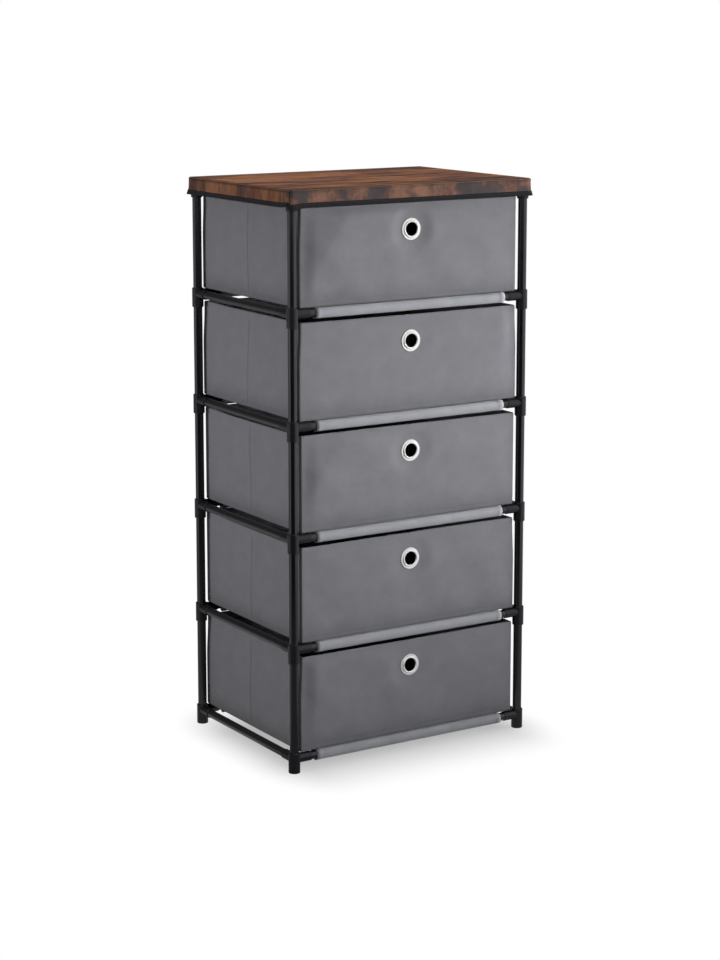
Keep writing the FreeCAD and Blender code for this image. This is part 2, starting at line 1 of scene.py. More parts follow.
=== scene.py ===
# %% [markdown]
# # A fabric drawer dresser, dressed over its CAD frame
# The CAD model already gives the hard parts: black steel tubes, plastic connectors, stiffener cards
# and eyelets. This lesson adds what CAD is poor at: sewn cloth that is never quite flat, a printed
# cover, stitches, and the surface of each material. Everything is in metres, in the CAD's own place.

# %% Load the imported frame
import json
import math
import bmesh
import bpy
import numpy as np
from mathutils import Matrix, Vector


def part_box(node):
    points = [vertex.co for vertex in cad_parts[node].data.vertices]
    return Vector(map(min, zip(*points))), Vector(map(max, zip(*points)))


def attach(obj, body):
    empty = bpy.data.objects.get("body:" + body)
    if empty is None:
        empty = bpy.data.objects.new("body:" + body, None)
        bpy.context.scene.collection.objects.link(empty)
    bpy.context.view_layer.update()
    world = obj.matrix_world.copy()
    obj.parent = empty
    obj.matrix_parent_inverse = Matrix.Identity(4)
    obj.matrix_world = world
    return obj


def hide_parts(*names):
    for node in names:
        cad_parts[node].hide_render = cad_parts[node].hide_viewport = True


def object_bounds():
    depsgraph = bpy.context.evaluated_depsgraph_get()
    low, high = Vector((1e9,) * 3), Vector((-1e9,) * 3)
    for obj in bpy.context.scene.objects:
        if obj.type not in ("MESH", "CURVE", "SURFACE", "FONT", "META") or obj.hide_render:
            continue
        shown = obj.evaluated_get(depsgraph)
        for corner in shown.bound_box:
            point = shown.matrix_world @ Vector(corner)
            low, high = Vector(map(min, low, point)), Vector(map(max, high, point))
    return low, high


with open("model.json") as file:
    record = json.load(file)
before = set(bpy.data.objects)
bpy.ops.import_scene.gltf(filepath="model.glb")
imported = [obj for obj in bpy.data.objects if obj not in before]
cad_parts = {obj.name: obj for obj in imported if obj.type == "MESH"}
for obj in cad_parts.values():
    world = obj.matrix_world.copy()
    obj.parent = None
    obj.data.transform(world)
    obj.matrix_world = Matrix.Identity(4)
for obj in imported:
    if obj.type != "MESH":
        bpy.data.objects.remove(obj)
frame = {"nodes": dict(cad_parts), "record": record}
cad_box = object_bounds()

MM = 0.001
scene = bpy.context.scene

# %% [markdown]
# ## The camera
# The photograph was taken from the front left, a little above the top, with a long lens, and its
# upright lines were made parallel afterwards. A camera with a large shift does the same, but then the
# dresser leaves the picture in every other view. A small shift keeps the posts nearly upright and the
# dresser in sight from all sides.

# %% Camera
CAMERA_PITCH = 9.356
CAMERA_YAW = 32.329
camera = bpy.data.objects.new("camera", bpy.data.cameras.new("camera"))
scene.collection.objects.link(camera)
camera.location = (-1.9769, -3.1262, 1.1948)
camera.rotation_euler = (math.radians(90 - CAMERA_PITCH), 0, math.radians(-CAMERA_YAW))
camera.data.lens = 85.91
camera.data.shift_y = -0.104
scene.camera = camera
print("camera lens", camera.data.lens, "mm")

# %% [markdown]
# ## Shader maths as Python
# A material is a graph of nodes, and its arithmetic is hard to read as a list of links. A small class
# wraps one output socket, so that `1 - mask` or `grain * 0.5 + dust` adds the Math nodes by itself.
# Every other node comes from one method, which sets the node up first and then fills its sockets.

# %% The signal class
class Signal:
    """One output of a material's nodes. Python's operators on it add Math nodes."""

    def __init__(self, tree, socket=None):
        self.tree = tree
        self.socket = socket

    def feed(self, target, value):
        """Links a signal into a socket, or sets the socket's own value."""
        if isinstance(value, Signal):
            self.tree.links.new(target, value.socket)
        else:
            target.default_value = value

    def node(self, kind, settings=(), values=(), out=0):
        """Any node: its settings first, then the values or links of its sockets."""
        made = self.tree.nodes.new(kind)
        for name, value in dict(settings).items():
            if name == "stops":
                ramp = made.color_ramp.elements
                while len(ramp) < len(value):
                    ramp.new(1.0)
                for stop, (place, colour) in zip(ramp, value):
                    stop.position = place
                    stop.color = colour
            else:
                setattr(made, name, value)
        for name, value in dict(values).items():
            self.feed(made.inputs[name], value)
        return Signal(self.tree, made.outputs[out])

    def math(self, operation, *values):
        return self.node("ShaderNodeMath", {"operation": operation}, enumerate(values))

    def __add__(self, other):
        return self.math("ADD", self, other)

    def __sub__(self, other):
        return self.math("SUBTRACT", self, other)

    def __rsub__(self, other):
        return self.math("SUBTRACT", other, self)

    def __mul__(self, other):
        return self.math("MULTIPLY", self, other)

    def __truediv__(self, other):
        return self.math("DIVIDE", self, other)

    __radd__ = __add__
    __rmul__ = __mul__

    def coordinates(self, kind):
        """A point's place on the surface, of a kind such as Object or Generated."""
        return self.node("ShaderNodeTexCoord", (), (), kind)

    def vector(self, operation, *others, out=0):
        """This vector and others through a Vector Math node."""
        return self.node("ShaderNodeVectorMath", {"operation": operation}, enumerate([self, *others]), out)

    def stretch(self, x, y, z=1.0):
        """A vector with its parts scaled, for example to draw grain out along one way."""
        return self.vector("MULTIPLY", (x, y, z))

    def length(self):
        return self.vector("LENGTH", out="Value")

    def part(self, name):
        """One part of a vector, X, Y or Z."""
        return self.node("ShaderNodeSeparateXYZ", (), {0: self}, name)

    def noise(self, scale, detail=2.0, roughness=0.5, distortion=0.0):
        """Soft noise between 0 and 1 over a vector in metres."""
        return self.node("ShaderNodeTexNoise", (), {
            "Vector": self, "Scale": scale, "Detail": detail,
            "Roughness": roughness, "Distortion": distortion})

    def ease(self, low, high, start=0.0, end=1.0):
        """A smooth step from start to end as the signal goes from low to high."""
        return self.node("ShaderNodeMapRange", {"interpolation_type": "SMOOTHSTEP"}, {
            "Value": self, "From Min": low, "From Max": high, "To Min": start, "To Max": end})

    def blend(self, first, second):
        """Two colours mixed, with this signal as the share of the second."""
        return self.node("ShaderNodeMix", {"data_type": "RGBA"}, {0: self, 6: first, 7: second}, 2)

    def wave(self, pitch):
        """A sine wave with a pitch in metres."""
        return self.math("SINE", self * (2 * math.pi / pitch))

    def bump(self, distance, strength=1.0):
        """A normal from this height, with distance in metres."""
        return self.node("ShaderNodeBump", (), {"Height": self, "Distance": distance, "Strength": strength})

# %% Colours and new finishes
def srgb(red, green, blue):
    """A colour as a picture gives it, from 0 to 255, in the linear values that Blender wants."""
    linear = [v / 3294.6 if v <= 10 else ((v / 255 + 0.055) / 1.055) ** 2.4 for v in (red, green, blue)]
    return (*linear, 1.0)


def new_finish(name, flat=False, gloss=0.5, **constants):
    """A new material, the coordinates to paint it with, and a function that plugs its sockets."""
    made = bpy.data.materials.new(name)
    made.use_nodes = True
    start = Signal(made.node_tree)
    shader = made.node_tree.nodes["Principled BSDF"]

    def wear(**sockets):
        for socket, value in sockets.items():
            start.feed(shader.inputs[socket.replace("_", " ").title()], value)

    shader.inputs["Specular IOR Level"].default_value = gloss
    wear(**constants)
    place = start.node("ShaderNodeUVMap", {"uv_map": "flat"}) if flat else start.coordinates("Object")
    print("finish", name)
    return made, place, wear

# %% [markdown]
# ## Black steel tubes
# The uprights and rails are thin steel tubes with a satin black coat. Baked powder coat is not a
# mirror: it has a fine orange-peel ripple, and handling leaves it a little duller in patches. Two
# noises, one fine for the ripple and one broad for the dull patches, say that at the right scale. Its
# slightly cool highlights come from the shader's own tint of the gloss.

# %% Tube coat
COOL = (0.92, 0.93, 1.0, 1.0)
coat_finish, place, wear = new_finish("black_tube_coat", gloss=0.7, specular_tint=COOL)
dull = place.noise(28, 3)
peel = place.noise(900)
wear(base_color=dull.blend(srgb(5, 5, 7), srgb(11, 11, 14)),
     roughness=dull * 0.06 + peel * 0.03 + 0.11,
     normal=peel.bump(0.02 * MM, 0.5))

# %% [markdown]
# ## Moulded plastic connectors
# The connectors and feet come out of a mould with a fine spark texture, so they scatter light more
# than the tubes do and look a shade greyer. A very fine noise gives the texture; a broad one keeps
# the corners from looking all alike.

# %% Connector plastic
plastic_finish, place, wear = new_finish("black_connector_plastic", gloss=0.45, specular_tint=COOL)
spark = place.noise(2600, 3, 0.7)
cloud = place.noise(40)
wear(base_color=cloud.blend(srgb(10, 10, 12), srgb(17, 17, 21)),
     roughness=spark * 0.08 + cloud * 0.06 + 0.2,
     normal=spark.bump(0.03 * MM, 0.5))

# %% [markdown]
# ## Non-woven cloth
# The drawers and shelf sheets are spun-bonded cloth: loose fibres pressed together by hot rollers,
# which leave a grid of tiny pressed points, so a woven texture would be wrong. Fibres are a noise
# drawn out in two directions, the pressed points are two crossed waves, and slow clouds of colour
# come from fibres that lie thicker in places. The cloth's own flat coordinates carry all three, so
# the pattern turns the corners as real cloth does. Drawers get painted shade near the bottom, which
# follows the piece's height and not its flat cut.

# %% Grey cloth in three shades
BOND_PITCH = 1.5 * MM
# colour and reach of the painted shade at the bottom of the drawers
LOW_SHADE_COLOUR = srgb(66, 66, 69)
LOW_SHADE_TOP = 0.26


def cloth_finish(name, dark, light, low_shade=0.0):
    made, place, wear = new_finish(name, flat=True, gloss=0.25, sheen_weight=0.08, sheen_roughness=0.5)
    bond = (place.part("X").wave(BOND_PITCH) * place.part("Y").wave(BOND_PITCH)).ease(0.25, 0.9)
    fibre = place.stretch(1, 0.22).noise(2300, 3, 0.65)
    cross_fibre = place.stretch(0.22, 1).noise(2100, 3, 0.65)
    cloud = place.noise(34, 4, 0.6)
    thick = (fibre + cross_fibre) * 0.36 + cloud * 0.3 - bond * 0.08
    # painted shade: the cloth is darkened towards the bottom of the piece
    height = place.coordinates("Generated").part("Z")
    low_shade_mask = (height + cloud * 0.05).ease(0.0, LOW_SHADE_TOP, low_shade, 0.0)
    wear(base_color=low_shade_mask.blend(thick.ease(0.25, 0.75).blend(dark, light), LOW_SHADE_COLOUR),
         roughness=0.78 + fibre * 0.14,
         normal=(thick - bond * 0.5).bump(0.12 * MM, 0.35))
    return made


drawer_finish = cloth_finish("drawer_cloth", srgb(112, 112, 117), srgb(132, 132, 137), low_shade=0.32)
lining_finish = cloth_finish("lining_cloth", srgb(104, 104, 108), srgb(122, 122, 127))
shelf_finish = cloth_finish("shelf_cloth", srgb(143, 145, 150), srgb(165, 167, 172))

# %% [markdown]
# ## Cards, boards and nickel
# Inside the cloth are stiffener cards, a loose base board and, under the cover, a fibreboard. They
# hardly show, but a drawer pulled out shows the base board, so each has the flecks of its own stuff.
# The eyelets have a pale, milky nickel plating, so the shader is only half metal, and the barrel in
# the hole gets painted shade, placed by the eyelet's own box.

# %% Card and board finishes
def pulp_finish(name, dark, light, fleck):
    made, place, wear = new_finish(name, gloss=0.2)
    fibres = place.stretch(1, 0.3).noise(1500, 4, 0.7)
    flecks = place.noise(700, 1).ease(0.66, 0.72)
    wear(base_color=(flecks * 0.6).blend(fibres.blend(dark, light), fleck),
         roughness=fibres * 0.15 + 0.75,
         normal=fibres.bump(0.08 * MM, 0.4))
    return made


card_finish = pulp_finish("stiffener_card", srgb(118, 108, 96), srgb(150, 140, 126), srgb(88, 78, 66))
board_finish = pulp_finish("fibreboard", srgb(120, 88, 60), srgb(150, 114, 80), srgb(84, 58, 38))
base_finish = pulp_finish("base_board_facing", srgb(96, 96, 100), srgb(120, 120, 124), srgb(80, 80, 84))

# %% Eyelet finish
SHADED_BARREL_RADIUS = (0.32, 0.335)
SHADED_BARREL_DEPTH = (0.12, 0.25)
nickel_finish, place, wear = new_finish("nickel_eyelet", metallic=0.5)
rub = place.noise(220, 3)
scratch = place.stretch(1, 1, 14).noise(420)
in_box = place.coordinates("Generated")
radius = in_box.vector("SUBTRACT", (0.5, 0.0, 0.5)).stretch(1, 0).length()
# painted shade: the barrel inside the hole is coloured almost black
barrel_shade = radius.ease(*SHADED_BARREL_RADIUS, 1.0, 0.0) * in_box.part("Y").ease(*SHADED_BARREL_DEPTH)
plating = rub.blend(srgb(232, 232, 230), srgb(248, 248, 246))
wear(base_color=barrel_shade.blend(plating, srgb(16, 16, 16)),
     roughness=rub * 0.1 + scratch * 0.08 + 0.12,
     normal=scratch.bump(0.02 * MM, 0.3))

# %% [markdown]
# ## The wood print
# The cover only looks like wood. It is cloth with a picture of old boards printed on it, and it folds
# down at the edges, so the boards' streaks run along the top and then straight down the ends. That
# happens by itself when the print is painted in the flat coordinates of the cut cloth. Streaks are
# noise drawn out along the boards, and each board shifts the noise by its own amount and has its own
# warmth. The front and back flaps are printed in chalky clouds, and the end flaps are darkened by
# painted shade. Blue-grey smoke lies over all in soft patches and in a few spots on the front flap,
# and painted shade darkens the print where the cloth bends, least at the front.

# %% Boards and streaks of the print
BOARD = 80 * MM
BOARD_START = 0.75
WORN_WOOD = [(0.34, srgb(66, 54, 54)), (0.43, srgb(108, 79, 70)), (0.50, srgb(142, 98, 81)),
             (0.57, srgb(176, 118, 86)), (0.68, srgb(206, 144, 102))]
print_finish, place, wear = new_finish("rustic_wood_print", flat=True, gloss=0.12, sheen_weight=0.02)
cover_low, cover_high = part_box("top_cover")
solid_place = place.coordinates("Object")
past_edge = solid_place.vector("ABSOLUTE").vector("SUBTRACT", cover_high)
on_flap = past_edge.part("Y").ease(-14 * MM, -3 * MM)
on_side = past_edge.part("X").ease(-4 * MM, -1 * MM)
row = place.math("FLOOR", place.part("Y") / BOARD + BOARD_START)
warm_board = place.math("FLOORED_MODULO", row, 2.0) - 0.5
offset = place.node("ShaderNodeCombineXYZ", (), {"X": row * 1.37, "Y": row * 0.61, "Z": row * 3.1})
grain = place.vector("ADD", offset)
streak = grain.stretch(1, 9).noise(6, 5, 0.62, 0.8)
streak = streak - (streak - 0.5) * on_side * 0.45
fine = grain.stretch(1, 6).noise(48, 4, 0.65)
back_warmer = solid_place.part("Y").ease(-0.15, -0.02, 0.0, 0.08)
warmth = place.stretch(1, 2.2).noise(5) + back_warmer + warm_board * (on_side * 0.2 + 0.06)
worn_print_and_end_shade = place.node("ShaderNodeValToRGB", {"stops": WORN_WOOD},
                  {"Fac": streak * 1.1 + fine * 0.3 + warmth * 0.3 - 0.32})
# painted shade: the end flaps are blended towards a dark brown
worn_print_and_end_shade = (on_side * 0.58).blend(worn_print_and_end_shade, srgb(50, 36, 33))

# %% Flaps, smoke and painted shade at the bends of the print
SMOKE_SPOTS = [(-207, 10, 22), (-125, 14, 14), (-72, 9, 18), (96, 14, 24), (145, 7, 30)]
WARM_SPOTS = [(-28, 14, 18), (14, 9, 14)]
SPOT_INNER, SPOT_OUTER = 0.3 * MM, 1.5 * MM
WEAVE_PITCH = 1.2 * MM


def spots(places):
    """1 in patches round the front edge, given in millimetres along, down and half across."""
    found = 0.0
    for along, down, half in places:
        centre = (along * MM, cover_low.y, cover_high.z - down * MM)
        far = solid_place.vector("SUBTRACT", centre).stretch(1, 0.4).length()
        found = found + far.ease(SPOT_INNER * half, SPOT_OUTER * half, 1.0, 0.0)
    return found


cloud = solid_place.stretch(1, 1, 1.5).noise(26, 4, 0.65)
cloud = cloud + (fine - 0.5) * 0.4 + spots(WARM_SPOTS) * 0.2
chalky = cloud.ease(0.36, 0.7).blend(srgb(86, 69, 64), srgb(138, 101, 83))
smoke = solid_place.stretch(1, 1.6).noise(24, 4, 0.6, 0.3) + spots(SMOKE_SPOTS) * 0.2
smoke = smoke.ease(0.5, 0.68, 0.0, 0.8) * (on_flap * 0.5 + 0.5)
smoked = smoke.blend(on_flap.blend(worn_print_and_end_shade, chalky), srgb(68, 65, 69))
pores = grain.stretch(1, 26).noise(150, 1).ease(0.6, 0.72)
grained = (pores * 0.35).blend(smoked, srgb(46, 34, 30))
# painted shade: the print darkens where the cloth bends over the edges, less at the front
bend = place.math("MAXIMUM", past_edge.part("X"), past_edge.part("Y")).ease(-8 * MM, -4 * MM)
bend = bend * past_edge.part("Z").ease(-6 * MM, -3 * MM)
bend = bend * solid_place.part("Y").ease(-162 * MM, -150 * MM, 0.3, 1.0)
threads = place.part("X").wave(WEAVE_PITCH) * place.part("Y").wave(WEAVE_PITCH)
wear(base_color=(bend * 0.6).blend(grained, srgb(44, 36, 35)),
     roughness=fine * 0.18 + 0.6,
     normal=(threads * 0.5 + fine).bump(0.06 * MM, 0.3))
print("smoky spots", len(SMOKE_SPOTS), "and warm spots", len(WARM_SPOTS))

# %% [markdown]
# ## Tape and thread
# The hem is bound with a ribbed black tape, and everything is sewn with polyester thread. The twist of
# a thread is finer than a pixel, so a fine noise only hints at it.

# %% Tape and thread finishes
RIB_PITCH = 1.3 * MM
tape_finish, place, wear = new_finish("binding_tape", flat=True, gloss=0.25)
ribs = place.part("X").wave(RIB_PITCH)
dust = place.noise(60, 3)
wear(base_color=dust.blend(srgb(24, 24, 27), srgb(40, 40, 43)),
     roughness=dust * 0.15 + 0.7,
     normal=ribs.bump(0.1 * MM, 0.4))


def thread_finish(name, dark, light):
    made, place, wear = new_finish(name, gloss=0.35, sheen_weight=0.1)
    twist = place.noise(2400)
    wear(base_color=twist.blend(dark, light), roughness=twist * 0.2 + 0.5,
         normal=twist.bump(0.05 * MM, 0.5))
    return made


grey_thread = thread_finish("grey_thread", srgb(96, 96, 100), srgb(118, 118, 122))
black_thread = thread_finish("black_thread", srgb(18, 18, 20), srgb(44, 44, 47))

# %% [markdown]
# ## Dressing the CAD nodes
# A CAD node whose shape is already right only needs its finish. The record names the material slot
# of every node, so one loop can dress them all.

# %% Finishes on the CAD nodes
SLOT_FINISH = {
    "black_tube": coat_finish, "black_plastic": plastic_finish, "shelf_cloth": shelf_finish,
    "drawer_cloth": drawer_finish, "drawer_lining": lining_finish, "stiffener_card": card_finish,
    "base_board": base_finish, "nickel_eyelet": nickel_finish, "fibreboard": board_finish,
    "printed_cover": print_finish, "binding_tape": tape_finish}
node_slot = {row["node"]: row["material_slot"] for row in frame["record"]["subparts"]}
for name, node in frame["nodes"].items():
    node.data.materials.clear()
    node.data.materials.append(SLOT_FINISH[node_slot[name]])
print("dressed", len(node_slot), "CAD nodes")

# %% [markdown]
# ## Rows of points become cloth
# A drawer's skin, a shelf sheet and the cover are each one cloth that bends: up a wall, over a rim,
# round a rail. The plainest way to say that is a table of points, row after row along the bend. One
# function turns such rows into faces and remembers where each point lay on the flat cut, which the
# cloth finishes use. A Solidify modifier then gives the cloth its thickness.

# %% Steps, paths and bends
def smooth(value, low, high):
    """0 below low, 1 above high, and a soft step between them."""
    share = np.clip((value - low) / (high - low), 0, 1)
    return share * share * (3 - 2 * share)


def run_along(path):
    """How far each point of a path is from its start, along the path."""
    return np.concatenate([[0], np.cumsum(np.linalg.norm(np.diff(path, axis=0), axis=1))])


def quarter(bend, count):
    """A quarter circle, as pairs of how far in and how far from the level its points are."""
    turn = np.linspace(0, math.pi / 2, count)
    return list(zip(bend * (1 - np.cos(turn)), bend * (1 - np.sin(turn))))

# %% Cloth from rows of points
CLOTH = 0.8 * MM
WELD = 0.01 * MM


def add_piece(name, points, faces, finish, spots=None):
    """A new smooth mesh piece, with its places on the flat cut if it has them."""
    mesh = bpy.data.meshes.new(name)
    mesh.from_pydata(points, [], faces)
    if spots is not None:
        mesh.uv_layers.new(name="flat").data.foreach_set("uv", spots.ravel())
    mesh.materials.append(finish)
    mesh.shade_smooth()
    piece = bpy.data.objects.new(name, mesh)
    scene.collection.objects.link(piece)
    return piece


def cloth_piece(name, points, flat, finish, lying=None, closed=True):
    """Faces over rows of points. A lying band takes its flat place from x and y, any other from flat."""
    rows, columns = points.shape[:2]
    if lying is None:
        lying = np.zeros(rows - 1, bool)
    across = columns if closed else columns - 1
    band, column = np.divmod(np.arange((rows - 1) * across), across)
    after = column + 1
    corner_rows = np.stack([band, band, band + 1, band + 1], 1)
    corner_columns = np.stack([column, after, after, column], 1)
    around = corner_columns % columns
    spots = np.where(lying[band][:, None, None], points[corner_rows, around, :2],
                     flat[corner_rows, corner_columns])
    faces = corner_rows * columns + around
    piece = add_piece(name, points.reshape(-1, 3).tolist(), faces.tolist(), finish, spots)
    work = bmesh.new()
    work.from_mesh(piece.data)
    bmesh.ops.remove_doubles(work, verts=work.verts, dist=WELD)
    work.to_mesh(piece.data)
    work.free()
    print(name, "has", len(piece.data.polygons), "faces")
    return piece


def thicken(piece, offset=-1.0):
    """Gives a cloth its thickness, away from the side that is seen unless offset says otherwise."""
    solid = piece.modifiers.new("cloth", "SOLIDIFY")
    solid.thickness = CLOTH
    solid.offset = offset
    return piece

# %% [markdown]
# ## An outline to wrap cloth round
# Drawers and the cover are all rounded rectangles seen from above. One class walks once round such an
# outline and knows for each point which wall it is on, how far along, and which way is outward, so a
# row of cloth is the outline moved in or out and up.

# %% The outline
CORNER_POINTS = 5
OUTWARD = np.array([(0, 1), (-1, 0), (0, -1), (1, 0)])


class Outline:
    """Once round a rounded rectangle, anticlockwise from above, from the back right corner."""

    def __init__(self, half_x, half_y, radius, step, closer=()):
        half = np.array([half_x, half_y])
        points, outward, sides = [], [], []
        for side, facing in enumerate(OUTWARD):
            ahead = OUTWARD[(side + 1) % 4] * (half - radius)
            start, end = facing * half - ahead, facing * half + ahead
            axis = side % 2
            extra = (np.array(dict(closer).get(side, ())) - start[axis]) / (end[axis] - start[axis])
            share = np.linspace(0, 1, max(2, round(math.dist(start, end) / step)) + 1)
            share = np.union1d(share, extra)
            turn = np.radians(90 * (side + 1) + np.linspace(0, 90, CORNER_POINTS + 2)[1:-1])
            around = np.column_stack([np.cos(turn), np.sin(turn)])
            points += [start + (end - start) * share[:, None], end + (around - facing) * radius]
            outward += [np.tile(facing, (len(share), 1)), around]
            half_turn = CORNER_POINTS // 2
            sides += [side] * (len(share) + half_turn) + [(side + 1) % 4] * (CORNER_POINTS - half_turn)
        self.xy = np.concatenate(points)
        self.out = np.concatenate(outward)
        self.side = np.array(sides)
        self.along = np.where(self.side % 2 == 0, self.xy[:, 0], self.xy[:, 1])
        self.reach = np.where(self.side % 2 == 0, half_x, half_y)
        self.run = run_along(np.vstack([self.xy, self.xy[:1]]))

    def ring(self, inset, height, share=1.0):
        """One row of points: moved in by inset, drawn towards the middle by share, at a height."""
        xy = (self.xy - self.out * np.broadcast_to(inset, len(self.xy))[:, None]) * share
        return np.column_stack([xy, np.broadcast_to(height, len(xy))])

    def flat(self, points):
        """Places on the flat cut: round the outline, and up along the rows."""
        up = run_along(points[:, 0])
        return np.stack(np.broadcast_arrays(self.run[None, :], up[:, None]), 2)

    def sideways(self):
        """The outward direction at each point, level with the floor."""
        return np.column_stack([self.out, np.zeros(len(self.out))])

# %% [markdown]
# ## Stitches
# A sewn line is a row of short bars of thread that sink into the cloth at both ends. A bump would
# vanish at the edges, so each bar is a small spindle of its own.

# %% Stitches along a path
STITCH_SIDES = 6
STITCH_PITCH = 4.2 * MM
STITCH_LENGTH = 3.0 * MM
THREAD = 0.32 * MM
SPINDLE = [(-0.5, 0.25), (-0.32, 0.9), (0.0, 1.0), (0.32, 0.9), (0.5, 0.25)]


def stitch_line(path, outward, closed=True, pitch=STITCH_PITCH, thread=THREAD):
    """Thread bars along a path, with the cloth's outward direction at each of its points."""
    if closed:
        path, outward = np.vstack([path, path[:1]]), np.vstack([outward, outward[:1]])
    run = run_along(path)
    middles = np.arange(pitch / 2, run[-1], pitch)

    def at(values, place):
        return np.column_stack([np.interp(place, run, values[:, k]) for k in range(3)])

    centre, normal = at(path, middles), at(outward, middles)
    forward = at(path, middles + MM) - at(path, middles - MM)
    forward /= np.linalg.norm(forward, axis=1)[:, None]
    sideways = np.cross(normal, forward)
    angles = np.arange(STITCH_SIDES) * 2 * math.pi / STITCH_SIDES
    round_bar = sideways[:, None] * np.cos(angles)[:, None] + normal[:, None] * np.sin(angles)[:, None]
    rings = [centre[:, None] + forward[:, None] * place * STITCH_LENGTH + round_bar * thread * size
             for place, size in SPINDLE]
    side = np.arange(STITCH_SIDES)
    turn = (side + 1) % STITCH_SIDES
    band = np.stack([side, turn, STITCH_SIDES + turn, STITCH_SIDES + side], 1)
    last = (len(SPINDLE) - 1) * STITCH_SIDES
    faces = [*np.concatenate([band + k for k in range(0, last, STITCH_SIDES)]), side[::-1], side + last]
    return np.concatenate(rings, 1), faces


def sew(name, lines, finish):
    """One piece of thread for several stitched lines."""
    points, faces = [], []
    for bars, bar_faces in lines:
        for bar in bars:
            faces += [(face + len(points)).tolist() for face in bar_faces]
            points += bar.tolist()
    print(name, "has", sum(len(bars) for bars, _ in lines), "stitches")
    return add_piece(name, points, faces, finish)

# %% [markdown]
# ## Drawers
# A drawer is a cloth box: an outer skin and an inner lining, with cards between them that keep the
# walls up. The skin goes up the outside, over the cards' top edge and a little way down inside, where
# a stitched hem holds it, and a seam runs round near the floor. Cards bow and cloth puckers, so no wall
# is flat: it stands a millimetre off its card in soft waves, each side wall has a crease where its two
# half cards fold, each front has a slanting fold of its own, the side walls of some drawers lean out,
# and the rim is a little higher at the back. Cloth simulation could crumple it, but the cards allow
# only these few shapes, so they are written down directly.

# %% A fold along a line
FOLD_ROUND = 1.5
FOLD_POWER = 1.3


def ridge(x, z, points, size, left, right):
    """A soft ridge along a line of points, in millimetres, that falls off over left and right."""
    nearest = np.full(np.broadcast_shapes(x.shape, z.shape), np.inf)
    beside = np.zeros_like(nearest)
    for (x0, z0), (x1, z1) in zip(points, points[1:]):
        dx, dz = x1 - x0, z1 - z0
        share = np.clip(((x - x0) * dx + (z - z0) * dz) / (dx * dx + dz * dz), 0, 1)
        away_x, away_z = x - x0 - share * dx, z - z0 - share * dz
        far = np.hypot(away_x, away_z)
        closer = far < nearest
        nearest = np.where(closer, far, nearest)
        beside = np.where(closer, dx * away_z - dz * away_x, beside)
    fall = np.where(beside < 0, left, right)
    soft = np.hypot(nearest, FOLD_ROUND) - FOLD_ROUND
    return size * np.exp(-(soft / fall) ** FOLD_POWER)

# %% How a drawer wall stands out from its cards
FRONT = 2
HELD = 16 * MM
CORNER_HELD = (5 * MM, 40 * MM)
EYELET_HELD = (17 * MM, 44 * MM)
STAND_OFF, BULGE = 0.45, 0.7
WAVES_PER_WALL = 4
LEAST_WAVE = (70, 90, 0, 0.12)
MOST_WAVE = (240, 260, 2 * math.pi, 0.34)
FRONT_FOLDS = {
    5: ([(-118, 140), (-148, 93), (-182, 36)], 7.0, 46, 130),
    3: ([(-128, 140), (-160, 95), (-196, 45)], 5.0, 42, 130),
    1: ([(-190, 120), (-174, 84), (-190, 44)], 4.2, 24, 110),
    4: ([(178, 120), (164, 60), (172, 16)], 2.4, 70, 26),
    2: ([(-60, 120), (-40, 70), (-70, 20)], 1.4, 90, 120)}
FOLD_CORNER = (0, 28 * MM)
FOLD_FADE = (-20 * MM, 100 * MM)
SIDE_CREASE = {1: (1, 0.02), 2: (-1, -0.03), 3: (0, 0.01), 4: (2, -0.02), 5: (1, 0.015)}
CREASE_SWELL, SWELL_HALF = 0.7, 15
CREASE_DEPTH, CREASE_HALF = 1.8, 1.6
CREASE_END = 8 * MM
SEAM_HEIGHT = 7.5 * MM
SEAM_DEPTH, SEAM_HALF = 0.35, 1.1 * MM


def wall_rise(number, shape, height, tall, eyelet):
    """How far a drawer's skin stands out, for a column of heights and every point of the outline."""
    draw = np.random.default_rng(40 + number)
    along, z = shape.along / MM, height / MM
    inside = shape.reach - np.abs(shape.along)
    held = smooth(height, 0, HELD) * smooth(tall - height, 0, HELD)
    from_eyelet = np.hypot(shape.along - eyelet[0], height - eyelet[1])
    held = held * np.where(shape.side == FRONT, smooth(from_eyelet, *EYELET_HELD), 1.0)
    bulge = np.cos(shape.along / shape.reach * math.pi / 2) * np.sin(math.pi * height / tall)
    rise = STAND_OFF + BULGE * bulge
    for side in range(4):
        for _ in range(WAVES_PER_WALL):
            wide, high, turn, size = draw.uniform(LEAST_WAVE, MOST_WAVE)
            wave = np.sin(2 * math.pi * (along / wide + z / high) + turn)
            rise = rise + (shape.side == side) * size * wave
    fold = (shape.side == FRONT) * ridge(along, z, *FRONT_FOLDS[number])
    fold = fold * smooth(inside, *FOLD_CORNER) * smooth(height, *FOLD_FADE)
    middle, slant = SIDE_CREASE[number]
    from_crease = along - middle - slant * (z - tall / MM / 2)
    crease = CREASE_SWELL * np.exp(-(from_crease / SWELL_HALF) ** 2)
    crease = crease - CREASE_DEPTH * np.exp(-(from_crease / CREASE_HALF) ** 2)
    crease = (shape.side % 2 == 1) * crease * smooth(tall - height, 0, CREASE_END)
    seam = -SEAM_DEPTH * np.exp(-((height - SEAM_HEIGHT) / SEAM_HALF) ** 2)
    return ((rise * smooth(inside, *CORNER_HELD) + fold + crease) * held + seam) * MM

# %% Leaning walls and the eyelet's hole
SIDE_LEAN = {1: (2.3, 0), 2: (0, 2.3), 3: (0, 0), 4: (2.3, 2.3), 5: (1.6, 0)}
LEAN_BELOW = (10 * MM, 70 * MM)
EYELET_HOLE = 12.8 * MM


